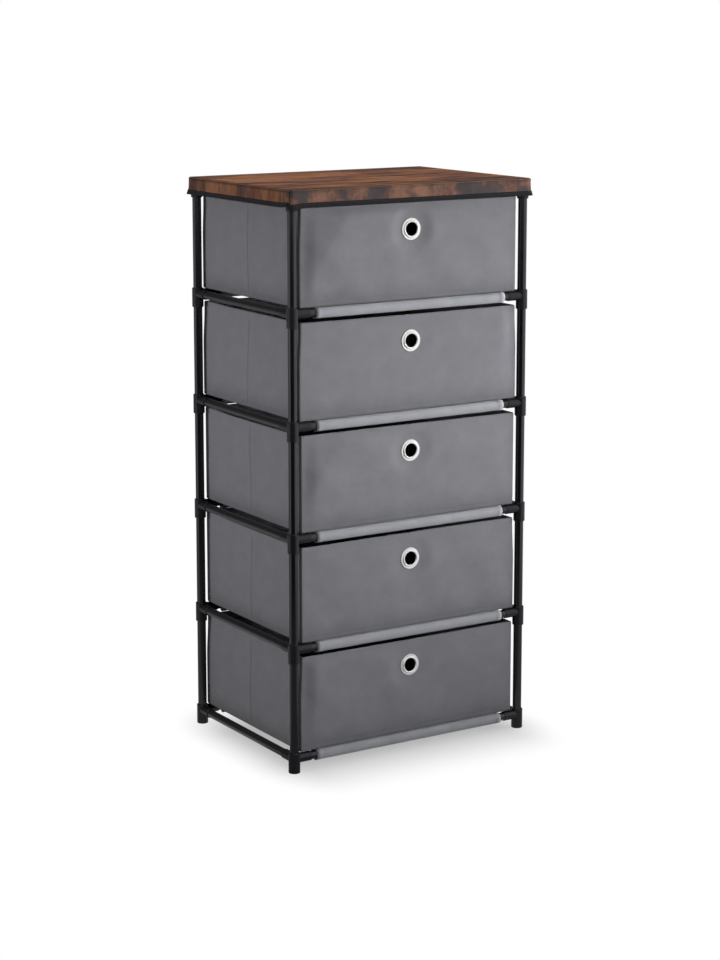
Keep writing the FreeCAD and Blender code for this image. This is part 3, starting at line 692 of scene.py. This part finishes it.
def lean_out(number, points, tall):
    """Lets a drawer's left and right walls lean out below the rim, each by its own millimetres."""
    left, right = SIDE_LEAN[number]
    reach = np.abs(points[..., 0]).max()
    lean = np.where(points[..., 0] < 0, left, right) * MM * smooth(tall - points[..., 2], *LEAN_BELOW)
    points[..., 0] *= 1 + lean / reach
    return points


def eyelet_centre(number):
    """Where a drawer's eyelet sits, along its front and up."""
    low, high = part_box(f"drawer_{number}_eyelet")
    return (low.x + high.x) / 2, (low.z + high.z) / 2


def open_eyelet(piece, centre, front):
    """Cuts the eyelet's hole in the front wall and rounds its edge, which the eyelet covers."""
    work = bmesh.new()
    work.from_mesh(piece.data)

    def from_centre(point):
        return math.hypot(point.x - centre[0], point.z - centre[1]) if point.y < front else 1.0

    inside = [f for f in work.faces if from_centre(f.calc_center_median()) < EYELET_HOLE]
    bmesh.ops.delete(work, geom=inside, context="FACES")
    edge = {v for e in work.edges if e.is_boundary for v in e.verts if from_centre(v.co) < 2 * EYELET_HOLE}
    for v in edge:
        pull = EYELET_HOLE / from_centre(v.co)
        v.co.x = centre[0] + (v.co.x - centre[0]) * pull
        v.co.z = centre[1] + (v.co.z - centre[1]) * pull
    work.to_mesh(piece.data)
    work.free()

# %% The skin and its hem
SKIN_RADIUS = 2.8 * MM
FLOOR_BEND = 2.5 * MM
FLOOR_SHARES = (0, 0.3, 0.6, 0.85)
RIM = 2.2 * MM
HEM_DEPTH = 12 * MM
HEM_STITCHES = 0.8
WALL_STEP = 4.5 * MM
CREASE_COLUMNS = np.arange(-7, 7.1, 1.0) * MM
SEAM_ROWS = SEAM_HEIGHT + np.array([-1.6, -0.8, 0.8, 1.6]) * MM
RIM_WAVE, RIM_TURNS = 0.5 * MM, 14
BACK_RAISE, RAISED = 1.8 * MM, (60 * MM, 130 * MM)
THREAD_PROUD = 0.1 * MM


def drawer_skin(number):
    """The outer cloth of one drawer, with the thread of its seams."""
    low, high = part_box(f"drawer_{number}_skin")
    middle = (low + high) / 2
    tall = high.z - low.z
    centre = eyelet_centre(number)
    eyelet = (centre[0] - middle.x, centre[1] - low.z)
    shape = Outline((high.x - low.x) / 2, (high.y - low.y) / 2, SKIN_RADIUS, WALL_STEP,
                    {1: CREASE_COLUMNS, 3: CREASE_COLUMNS})
    wall = np.linspace(FLOOR_BEND, tall - RIM, round(tall / WALL_STEP))
    wall = np.unique(np.concatenate([wall, SEAM_ROWS]))
    droop = RIM_WAVE * np.sin(shape.run[:-1] / shape.run[-1] * RIM_TURNS + number * 2.1)
    droop += BACK_RAISE * smooth(shape.xy[:, 1], *RAISED)
    rise = wall_rise(number, shape, wall[:, None], tall, eyelet)
    rows = [shape.ring(FLOOR_BEND, 0, share) for share in FLOOR_SHARES]
    rows += [shape.ring(inset, up) for up, inset in quarter(FLOOR_BEND, 4)[:-1]]
    for out, height in zip(rise, wall):
        rows.append(shape.ring(-out, height + droop * smooth(height, tall / 2, tall)))
    for turn in np.linspace(0, math.pi, 8)[1:]:
        inset = RIM * (1 - math.cos(turn)) - rise[-1] * math.cos(turn / 2)
        rows.append(shape.ring(inset, tall - RIM + RIM * math.sin(turn) + droop))
    for depth in np.linspace(HEM_DEPTH / 4, HEM_DEPTH, 4):
        rows.append(shape.ring(2 * RIM, tall - RIM - depth + droop))
    place = (middle.x, middle.y, low.z)
    points = lean_out(number, np.array(rows), tall) + place
    lying = np.arange(len(rows) - 1) < len(FLOOR_SHARES)
    skin = cloth_piece(f"drawer_{number}_outer_cloth", points, shape.flat(points), drawer_finish, lying)
    open_eyelet(skin, centre, middle.y)
    thicken(skin)
    seam_rise = wall_rise(number, shape, np.array([[SEAM_HEIGHT]]), tall, eyelet)[0]
    seam = shape.ring(-seam_rise - THREAD_PROUD, SEAM_HEIGHT)
    hem = shape.ring(2 * RIM + THREAD_PROUD, tall - RIM - HEM_STITCHES * HEM_DEPTH + droop)
    lines = [stitch_line(lean_out(number, path, tall) + place, facing * shape.sideways())
             for path, facing in ((seam, 1), (hem, -1))]
    return skin, sew(f"drawer_{number}_stitches", lines, grey_thread)

# %% The lining
LINING_RADIUS = 2.5 * MM
LINING_STEP = 9 * MM
LINING_BEND = 2 * MM
LINING_TOP = 1 * MM
LINING_WAVE = 110 * MM
LINING_SLACK, SLACK_CORNER = 0.25 * MM, 30 * MM


def drawer_lining(number):
    """The inner cloth of one drawer: down its walls and over its floor."""
    low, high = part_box(f"drawer_{number}_lining")
    middle = (low + high) / 2
    shape = Outline((high.x - low.x) / 2 - CLOTH, (high.y - low.y) / 2 - CLOTH, LINING_RADIUS, LINING_STEP)
    floor, top = CLOTH, high.z - low.z - LINING_TOP
    inside = shape.reach - np.abs(shape.along)
    wave = np.sin(shape.run[:-1] * 2 * math.pi / LINING_WAVE + number)
    slack = LINING_SLACK * (1 + wave * smooth(inside, 0, SLACK_CORNER))
    rows = []
    for height in np.linspace(top, floor + LINING_BEND, round(top / LINING_STEP)):
        rows.append(shape.ring(slack * math.sin(math.pi * (height - floor) / (top - floor)), height))
    rows += [shape.ring(inset, floor + up) for inset, up in quarter(LINING_BEND, 4)[1:]]
    wall_rows = len(rows)
    rows += [shape.ring(LINING_BEND, floor, share) for share in FLOOR_SHARES[::-1]]
    points = np.array(rows) + (middle.x, middle.y, low.z)
    lying = np.arange(len(rows) - 1) >= wall_rows - 1
    lining = cloth_piece(f"drawer_{number}_inner_cloth", points, shape.flat(points), lining_finish, lying)
    open_eyelet(lining, eyelet_centre(number), middle.y)
    return thicken(lining)

# %% Five drawers
DRAWERS = range(1, 6)
for number in DRAWERS:
    body = f"drawer_{number}"
    skin, thread = drawer_skin(number)
    lining = drawer_lining(number)
    for piece, slot in ((skin, "drawer_cloth"), (lining, "drawer_lining"), (thread, "drawer_cloth")):
        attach(piece, body)
    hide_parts(f"{body}_skin")
    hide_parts(f"{body}_lining")

# %% [markdown]
# ## Shelf sheets
# Each drawer stands on a sheet of the same kind of cloth. At the front and the back it goes round a
# rail and is sewn to its own underside, which makes a tunnel that hangs a little loose below the rail.
# Between the rails the sheet sags. Its cross-section is one line: flap, tunnel, web, tunnel, flap.
# Sweeping that line from left to right, with a few wrinkles and thicker side edges, gives the sheet.

# %% The line across a shelf
SHEET_SAG = 2.2 * MM
SEAM_BACK = 16 * MM
FLAP = 8 * MM


def sheet_profile(rail, radius):
    """The cloth's line across the shelf, front flap to back flap, about the rails' height."""
    under = radius - 1.1 * CLOTH
    reach = math.hypot(SEAM_BACK, under)
    leave = math.atan2(under, SEAM_BACK) - math.acos(radius / reach)
    turn = np.linspace(leave, math.pi / 2 - 2 * math.pi, 26)
    tunnel = np.column_stack([radius * np.cos(turn) - rail, radius * np.sin(turn)])
    flap = np.array([(FLAP + SEAM_BACK - rail, under), (SEAM_BACK - rail, under)])
    front = np.vstack([flap, tunnel])
    web_y = np.linspace(-rail, rail, 40)[1:-1]
    web = np.column_stack([web_y, np.full(len(web_y), radius)])
    line = np.vstack([front, web, front[::-1] * (-1, 1)])
    hang = SHEET_SAG * np.clip(1 - (line[:, 0] / (rail - SEAM_BACK)) ** 2, 0, 1)
    line[:, 1] -= np.where(np.abs(line[:, 0]) < rail - SEAM_BACK / 2, hang, 0)
    return line

# %% Shelf sheets
SHEET_STEP = 6 * MM
SIDE_EDGE = np.array([9, 8]) * MM
PUCKER_SHORT, PUCKER_LONG = 9.3 * MM, 31 * MM
PUCKER, EDGE_STAND = 0.12 * MM, 0.3 * MM
EDGE_DRIFT = 0.8 * MM
TUNNEL_HANG = (1.6 * MM, 4.2 * MM)
TOP_SHEET_HANG = (1.6 * MM, 2.0 * MM)


def shelf_sheet(number):
    """One shelf sheet with the thread of its two tunnel seams."""
    low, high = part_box(f"shelf_sheet_{number}")
    level = (low.z + high.z) / 2
    outer = (high.z - low.z) / 2
    rail, radius = high.y - outer, outer - CLOTH / 2
    line = sheet_profile(rail, radius)
    half = high.x
    edge = half - SIDE_EDGE
    across = np.linspace(-half, half, round(2 * half / SHEET_STEP))
    across = np.unique(np.concatenate([across, edge, -edge]))
    column = across[:, None]
    run = run_along(line)
    round_rail = np.hypot(np.abs(line[:, 0]) - rail, line[:, 1])
    away = np.column_stack([line[:, 0] - np.sign(line[:, 0]) * rail, line[:, 1]]) / round_rail[:, None]
    loose = (np.abs(round_rail - radius) < 0.1 * MM) & (line[:, 1] < radius * 0.9)
    pucker = np.sin(column / PUCKER_SHORT + run * 90 + number) * np.sin(column / PUCKER_LONG + number)
    puff = (PUCKER * (1 + pucker) + EDGE_STAND * smooth(np.abs(column), *edge)) * loose
    front_hang, back_hang = TOP_SHEET_HANG if number == len(DRAWERS) else TUNNEL_HANG
    hang = np.where(line[:, 0] < 0, front_hang, back_hang)
    line[:, 1] += np.clip(line[:, 1] / radius, -1, 0) * loose * hang
    drift = EDGE_DRIFT * np.sin(run * 37 + number) * (np.abs(column) / half) ** 8 * np.sign(column)
    points = np.stack([column + drift, line[:, 0] + away[:, 0] * puff,
                       level + line[:, 1] + away[:, 1] * puff], 2)
    flat = np.stack(np.broadcast_arrays(column, run[None, :]), 2)
    sheet = cloth_piece(f"shelf_sheet_{number}_cloth", points, flat, shelf_finish, closed=False)
    thicken(sheet, 0.0)
    up = np.tile((0.0, 0.0, 1.0), (len(across), 1))
    seams = [np.broadcast_arrays(across, side * (rail - SEAM_BACK), level + outer) for side in (-1, 1)]
    lines = [stitch_line(np.column_stack(seam), up, False) for seam in seams]
    return sheet, sew(f"shelf_sheet_{number}_stitches", lines, grey_thread), run[-1]


for number in DRAWERS:
    sheet, thread, length = shelf_sheet(number)
    for piece in (sheet, thread):
        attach(piece, "frame")
    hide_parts(f"shelf_sheet_{number}")
    print("shelf sheet", number, "was cut", round(length, 3), "m long")

# %% [markdown]
# ## The cover and its binding
# The cover is cut as a cross: a top and four flaps. The flaps fold down, are sewn together at the
# corners with black thread, and a black tape binds the hem. The flaps hang straight; only the tape,
# which is stiffer than the cloth, stands out at the corners, and at the front left corner the two flaps
# were sewn a little out of line. The outline makes it too, from the hem up and then in over the top.
# The print runs across the front and back flaps, as if they were cut from the other way of the cloth.

# %% How the skirt hangs
COVER_RADIUS = 9 * MM
COVER_BEND = 4 * MM
COVER_STEP = 6 * MM
SEAM_SLIP, SLIP_REACH = (2.2 * MM, -2.8 * MM), 16 * MM
SKIRT_SHORT, SKIRT_LONG = 23 * MM, 61 * MM
SKIRT_FLARE, FLARE_WAVE = 0.5 * MM, 0.4 * MM
CORNER_FLARE, CORNER_REACH = 2.6 * MM, 15 * MM
SEAM_GROOVE, GROOVE_END = 1.1 * MM, 6 * MM
skirt = Outline(cover_high.x, cover_high.y, COVER_RADIUS, COVER_STEP)
cover_run = skirt.run[:-1]
drop = cover_high.z - cover_low.z
corner = np.array([cover_high.x, cover_high.y]) - 0.3 * COVER_RADIUS
from_corner = np.linalg.norm(np.abs(skirt.xy) - corner, axis=1)
at_seam = np.isclose(np.abs(skirt.out[:, 0]), np.abs(skirt.out[:, 1]), atol=0.05)
near_slip = np.exp(-(np.linalg.norm(skirt.xy + corner, axis=1) / SLIP_REACH) ** 2)
slip = np.select([skirt.side == 1, skirt.side == FRONT], SEAM_SLIP, 0.0) * near_slip


def skirt_ring(height, proud=0.0):
    """One row of the skirt or of its tape, at a height above the hem."""
    down = 1 - np.clip(height / drop, 0, 1)
    wave = np.sin(cover_run / SKIRT_SHORT) * np.sin(cover_run / SKIRT_LONG + 1.0)
    flare = (SKIRT_FLARE + FLARE_WAVE * wave) * down
    flare = flare + CORNER_FLARE * np.exp(-(from_corner / CORNER_REACH) ** 2) * down ** 5
    groove = SEAM_GROOVE * at_seam * smooth(drop - height, 0, GROOVE_END)
    return skirt.ring(groove - flare - proud, height + slip * down)


print("skirt hangs", round(drop, 4), "m")

# %% Cover
TOP_SHARES = (0.985, 0.96, 0.92, 0.85, 0.75, 0.6, 0.4, 0.2, 0)
TOP_SINK, TOP_WAVE, TOP_PITCH = 0.3 * MM, 0.25 * MM, 70 * MM
FLAP_PRINT = 0.5
CORNER_PITCH, CORNER_THREAD = 2.2 * MM, 0.9 * MM
rows = [skirt_ring(height) for height in np.linspace(0, drop - COVER_BEND, 10)]
rows += [skirt.ring(inset, drop - down) for inset, down in quarter(COVER_BEND, 6)[1:]]
skirt_rows = len(rows)
for share in TOP_SHARES:
    soft = TOP_WAVE * np.sin(cover_run / TOP_PITCH + 9 * share) * math.sin(math.pi * share)
    height = drop - TOP_SINK * smooth(1 - share, 0, 0.05) - np.abs(soft)
    rows.append(skirt.ring(COVER_BEND, height, share))
points = np.array(rows) + (0, 0, cover_low.z)
hang = np.clip(cover_high.z - points[..., 2], 0, None)
unfolded = points[..., :2] + hang[..., None] * OUTWARD[skirt.side]
across = np.stack([hang + skirt.side, points[..., 0] * FLAP_PRINT], 2)
flat = np.where((skirt.side % 2 == 0)[:, None], across, unfolded)
flat = np.concatenate([flat, flat[:, :1]], 1)
lying = np.arange(len(rows) - 1) >= skirt_rows
cover = thicken(cloth_piece("printed_cover", points, flat, print_finish, lying))
seam_tall = skirt_rows - 2
lines = [stitch_line(points[:seam_tall, column], np.tile(skirt.sideways()[column], (seam_tall, 1)),
                     False, CORNER_PITCH, CORNER_THREAD) for column in np.flatnonzero(at_seam)]
corner_thread = sew("corner_seams", lines, black_thread)

# %% Binding tape with its stitches
TAPE = 0.8 * MM
TAPE_SECTION = [(0.0, 1.1), (0.9, 1.06), (1.1, 0.7), (1.1, 0.3), (0.8, 0.06), (-0.2, 0.0),
                (-1.4, 0.02), (-1.9, 0.1), (-2.0, 0.5), (-1.8, 1.05), (-0.9, 1.1), (0.0, 1.1)]
STITCHES_UP, STITCHES_PROUD = 0.8, 1.15
tape_low, tape_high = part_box("cover_binding")
tape_tall = tape_high.z - tape_low.z
hem = cover_low.z - tape_low.z
rows = [skirt_ring(up * tape_tall - hem, proud * TAPE) for proud, up in TAPE_SECTION]
points = np.array(rows)[::-1] + (0, 0, cover_low.z)
tape = cloth_piece("hem_binding", points, skirt.flat(points), tape_finish)
path = skirt_ring(STITCHES_UP * tape_tall - hem, STITCHES_PROUD * TAPE) + (0, 0, cover_low.z)
tape_thread = sew("binding_stitches", [stitch_line(path, skirt.sideways())], black_thread)
for piece, slot in ((cover, "printed_cover"), (corner_thread, "binding_tape"), (tape, "binding_tape"),
                    (tape_thread, "binding_tape")):
    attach(piece, "frame")
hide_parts("top_cover")
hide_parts("cover_binding")

# %% [markdown]
# ## Studio
# The photograph has a white ground that runs into a white background, and a soft shadow close round
# the feet. A real studio does that with a white sweep and large soft lamps. Here a pale floor keeps the
# shadow near the dresser and turns to plain white further out, but only for what the camera sees, so
# that no extra light falls on the object. Black tubes show their surroundings more than their own
# colour, so shiny surfaces see the same floor as a studio has it: bright to the left and right, dim
# under and behind the dresser, and dark on the photographer's side.

# %% Floor
FLOOR_REACH = 12.0
floor_finish, place, wear = new_finish("pale_floor", gloss=0.1, roughness=0.9)
speckle = place.noise(9)
wear(base_color=speckle.blend(srgb(188, 188, 188), srgb(194, 194, 194)))
corners = [(x * FLOOR_REACH, y * FLOOR_REACH, 0) for x, y in ((-1, -1), (1, -1), (1, 1), (-1, 1))]
floor = add_piece("floor", corners, [(0, 1, 2, 3)], floor_finish)

# %% What each kind of ray sees
def seen_ray(start, *kinds):
    """1 for the named kinds of ray, such as what the camera looks at, and 0 for all others."""
    seen = [start.node("ShaderNodeLightPath", (), (), f"Is {kind} Ray") for kind in kinds]
    return sum(seen[1:], seen[0])


def glow(start, strength, kind="ShaderNodeEmission"):
    return start.node(kind, (), {"Color": (1, 1, 1, 1), "Strength": strength})


def either(share, first, second):
    """Two shaders mixed, with a share of the second."""
    return share.node("ShaderNodeMixShader", (), {0: share, 1: first, 2: second})


def show(tree, output, shader):
    """Makes a shader what a material or world shows."""
    tree.links.new(tree.nodes[output].inputs["Surface"], shader.socket)

# %% Places on the floor
DARK_SIDE = (-0.62, -0.785, 0.0)
FAR_LEFT = (-0.8, -0.6, 0.0)


def from_outline(place, ahead=(0, 0, 0), inset=(0, 0), reach=(1, 1, 1)):
    """How far a floor point is from the dresser's outline, moved and drawn in, in parts of reach."""
    half = (cad_box[1][0] - inset[0], cad_box[1][1] - inset[1], 0.0)
    far = place.vector("ADD", ahead).vector("ABSOLUTE").vector("SUBTRACT", half)
    return far.vector("MAXIMUM", (0, 0, 0)).vector("DIVIDE", reach).length()


towards_dark = place.vector("NORMALIZE").vector("DOT_PRODUCT", DARK_SIDE, out="Value").ease(0.64, 0.8)
far_left = place.vector("DOT_PRODUCT", FAR_LEFT, out="Value").ease(0.4, 2.0)
behind = place.part("Y").ease(0.2, 0.8) * (1 - far_left)
away = from_outline(place)
near = away.ease(0.3, 2.2, 1.0, 0.0)

# %% The floor as it is seen
SHADOW_AHEAD = (0.0, 0.025, 0.0)
SHADOW_INSET = (0.05, 0.08)
SHADOW_REACH = (0.11, 0.19, 1.0)
LEAST_WHITE = 0.42
NEAR_FLOOR, BACK_FLOOR, DARK_FLOOR = 0.45, 0.35, 0.04
tree = floor_finish.node_tree
lit = Signal(tree, tree.nodes["Principled BSDF"].outputs[0])
white = from_outline(place, SHADOW_AHEAD, SHADOW_INSET, SHADOW_REACH).ease(0.0, 1.0, LEAST_WHITE, 1.0)
ground = either(white, lit, glow(place, 1.0))
bright = either(near, glow(place, 1.0), glow(place, NEAR_FLOOR))
bright = either(behind, bright, glow(place, BACK_FLOOR))
dark_side = towards_dark * away.ease(0.4, 1.3, 0.6, 1.0)
mirrored = either(dark_side, bright, glow(place, DARK_FLOOR))
unseen = either(seen_ray(place, "Glossy", "Transmission"), lit, mirrored)
show(tree, "Material Output", either(seen_ray(place, "Camera"), unseen, ground))
print("shadow fades over", SHADOW_REACH[:2], "m")

# %% [markdown]
# ## Light
# In the photograph each black tube has a black core with grey bands beside it. A plain white world would
# turn the tubes grey all over, and lamps seen in them would draw hard stripes. So the lamps are hidden
# from reflections, and shiny surfaces see a room that is bright in front and dim behind. Three soft
# lamps then light the cloth. The right one is low and narrow, so that the fronts darken towards the
# floor, and the left one stands slightly behind the middle, because light from the front would hide
# the creases and folds.

# %% World
AMBIENT = 0.18
WALL_BEHIND = 0.13
world = bpy.data.worlds.new("studio")
scene.world = world
world.use_nodes = True
tree = world.node_tree
start = Signal(tree)


def wall(strength):
    return glow(start, strength, "ShaderNodeBackground")


in_front = start.coordinates("Generated").part("Y").ease(-0.35, 0.1, 1.0, 0.0)
mirrored = either(in_front, wall(WALL_BEHIND), wall(1.0))
unseen = either(seen_ray(start, "Glossy", "Transmission"), wall(AMBIENT), mirrored)
show(tree, "World Output", either(seen_ray(start, "Camera"), unseen, wall(1.0)))
print("world gives", AMBIENT, "of white light")

# %% Lamps
def soft_box(name, location, aim, size, power, spread=180):
    """A large soft lamp that faces a point."""
    lamp = bpy.data.objects.new(name, bpy.data.lights.new(name, "AREA"))
    lamp.data.shape = "RECTANGLE"
    lamp.data.size, lamp.data.size_y = size
    lamp.data.energy = power
    lamp.data.spread = math.radians(spread)
    lamp.visible_camera = False
    lamp.visible_glossy = False
    lamp.location = location
    x, y, z = np.array(location) - np.array(aim)
    lamp.rotation_euler = (math.atan2(math.hypot(x, y), z), 0, math.atan2(x, -y))
    scene.collection.objects.link(lamp)
    print(name, power, "W")


soft_box("right_lamp", (1.9, -1.15, 0.7), aim=(0, 0, 0.66), size=(1.6, 0.6), power=10.3, spread=50)
soft_box("left_lamp", (-2.3, 0.2, 0.7), aim=(0, 0, 0.64), size=(0.8, 0.6), power=3.7, spread=70)
soft_box("top_lamp", (0.2, 0.0, 3.0), aim=(0, 0, 0.6), size=(2.0, 2.0), power=17)
scene.view_settings.view_transform = "Standard"
